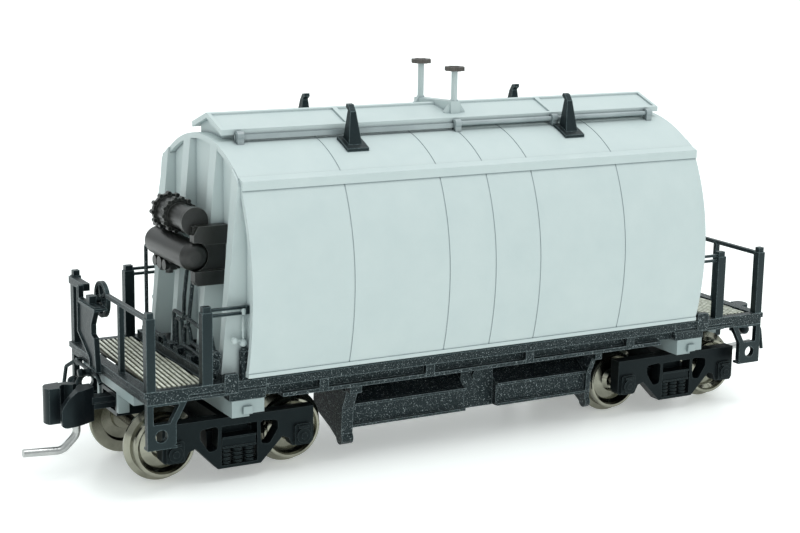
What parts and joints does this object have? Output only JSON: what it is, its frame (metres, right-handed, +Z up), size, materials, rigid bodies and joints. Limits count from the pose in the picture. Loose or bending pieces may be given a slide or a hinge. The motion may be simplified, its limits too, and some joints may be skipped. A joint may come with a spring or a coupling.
{
  "type": "model tank wagon",
  "caption": "Small-gauge model wagon: barrel-sided enclosed tank body with ribbed flat ends, roof hatch, end platforms with railings, discharge gates below, swivelling trucks and hook couplers.",
  "frame": {"origin": "centre of the wagon at the level the wheel flanges stand on", "axes": "+X along the wagon towards the plain end (the brake end is at -X), +Y across it towards the far side, +Z up"},
  "size_m": [0.0748, 0.02, 0.032],
  "materials": {
    "grey_body": "smooth moulded plastic, satin-matt",
    "pale_frame": "smooth moulded plastic, satin-matt",
    "black_plastic": "satin black with a fine grain",
    "truck_black": "satin black",
    "coupler_black": "satin black with a slight sheen",
    "tread_silver": "silver-grey with raised ribs",
    "dark_wheel_paint": "dark brown-grey, matt",
    "wheel_nickel": "bright nickel plate, turned",
    "axle_steel": "turned steel, dark",
    "pin_steel": "bare steel wire",
    "ballast_steel": "plain steel plate"
  },
  "bodies": {
    "wagon": {"floor_plate": "black_plastic", "hopper_bottom": "black_plastic", "side_sill_near": "black_plastic", "side_sill_far": "black_plastic", "gates_near": "black_plastic", "gates_far": "black_plastic", "platform_brake": "black_plastic", "platform_plain": "black_plastic", "step_near_brake": "black_plastic", "step_far_brake": "black_plastic", "step_near_plain": "black_plastic", "step_far_plain": "black_plastic", "side_rail_near_brake": "black_plastic", "side_rail_far_brake": "black_plastic", "side_rail_near_plain": "black_plastic", "side_rail_far_plain": "black_plastic", "end_rail_plain": "black_plastic", "end_rail_brake": "black_plastic", "brake_stand": "black_plastic", "brake_wheel": "black_plastic", "brake_cylinder": "black_plastic", "air_reservoir": "black_plastic", "tank_brackets": "black_plastic", "control_valve": "black_plastic", "brake_rigging": "black_plastic", "cut_lever_brake": "black_plastic", "cut_lever_plain": "black_plastic", "roof_hooks": "black_plastic", "kingpins": "black_plastic", "tank_body": "grey_body", "bulkhead_brake": "grey_body", "bulkhead_plain": "grey_body", "hatch_cover": "grey_body", "hatch_coaming": "grey_body", "latch_bar_near": "grey_body", "latch_bar_far": "grey_body", "vent_stand": "grey_body", "main_frame": "pale_frame", "vent_wheels": "dark_wheel_paint", "ballast_weight": "ballast_steel", "tread_plate_brake": "tread_silver", "draft_box_brake": "coupler_black", "tread_plate_plain": "tread_silver", "draft_box_plain": "coupler_black"},
    "truck_brake": {"truck_frame_brake": "truck_black"},
    "wheelset_brake_outer": {"wheels_brake_outer": "wheel_nickel", "axle_brake_outer": "axle_steel"},
    "wheelset_brake_inner": {"wheels_brake_inner": "wheel_nickel", "axle_brake_inner": "axle_steel"},
    "coupler_arm_brake": {"coupler_brake": "coupler_black", "trip_pin_brake": "pin_steel"},
    "coupler_jaw_brake": {"knuckle_brake": "coupler_black"},
    "truck_plain": {"truck_frame_plain": "truck_black"},
    "wheelset_plain_outer": {"wheels_plain_outer": "wheel_nickel", "axle_plain_outer": "axle_steel"},
    "wheelset_plain_inner": {"wheels_plain_inner": "wheel_nickel", "axle_plain_inner": "axle_steel"},
    "coupler_arm_plain": {"coupler_plain": "coupler_black", "trip_pin_plain": "pin_steel"},
    "coupler_jaw_plain": {"knuckle_plain": "coupler_black"}
  },
  "joints": [
    {"name": "truck_swivel_brake", "type": "hinge", "parent": "wagon", "child": "truck_brake", "pos_m": [-0.0217, 0, 0.0055], "axis": [0, 0, 1], "range_deg": [-8, 8]},
    {"name": "wheel_roll_brake_outer", "type": "hinge", "parent": "truck_brake", "child": "wheelset_brake_outer", "pos_m": [-0.0272, 0, 0.00305], "axis": [0, 1, 0], "continuous": true},
    {"name": "wheel_roll_brake_inner", "type": "hinge", "parent": "truck_brake", "child": "wheelset_brake_inner", "pos_m": [-0.0162, 0, 0.00305], "axis": [0, 1, 0], "continuous": true},
    {"name": "coupler_swing_brake", "type": "hinge", "parent": "wagon", "child": "coupler_arm_brake", "pos_m": [-0.0278, 0, 0.00585], "axis": [0, 0, 1], "range_deg": [-8, 8], "stiffness_Nm_per_rad": 0.00001},
    {"name": "jaw_open_brake", "type": "hinge", "parent": "coupler_arm_brake", "child": "coupler_jaw_brake", "pos_m": [-0.0278, 0, 0.00585], "axis": [0, 0, 1], "range_deg": [-8, 0], "stiffness_Nm_per_rad": 0.00001},
    {"name": "truck_swivel_plain", "type": "hinge", "parent": "wagon", "child": "truck_plain", "pos_m": [0.0217, 0, 0.0055], "axis": [0, 0, 1], "range_deg": [-8, 8]},
    {"name": "wheel_roll_plain_outer", "type": "hinge", "parent": "truck_plain", "child": "wheelset_plain_outer", "pos_m": [0.0272, 0, 0.00305], "axis": [0, 1, 0], "continuous": true},
    {"name": "wheel_roll_plain_inner", "type": "hinge", "parent": "truck_plain", "child": "wheelset_plain_inner", "pos_m": [0.0162, 0, 0.00305], "axis": [0, 1, 0], "continuous": true},
    {"name": "coupler_swing_plain", "type": "hinge", "parent": "wagon", "child": "coupler_arm_plain", "pos_m": [0.0278, 0, 0.00585], "axis": [0, 0, 1], "range_deg": [-8, 8], "stiffness_Nm_per_rad": 0.00001},
    {"name": "jaw_open_plain", "type": "hinge", "parent": "coupler_arm_plain", "child": "coupler_jaw_plain", "pos_m": [0.0278, 0, 0.00585], "axis": [0, 0, 1], "range_deg": [-8, 0], "stiffness_Nm_per_rad": 0.00001}
  ]
}
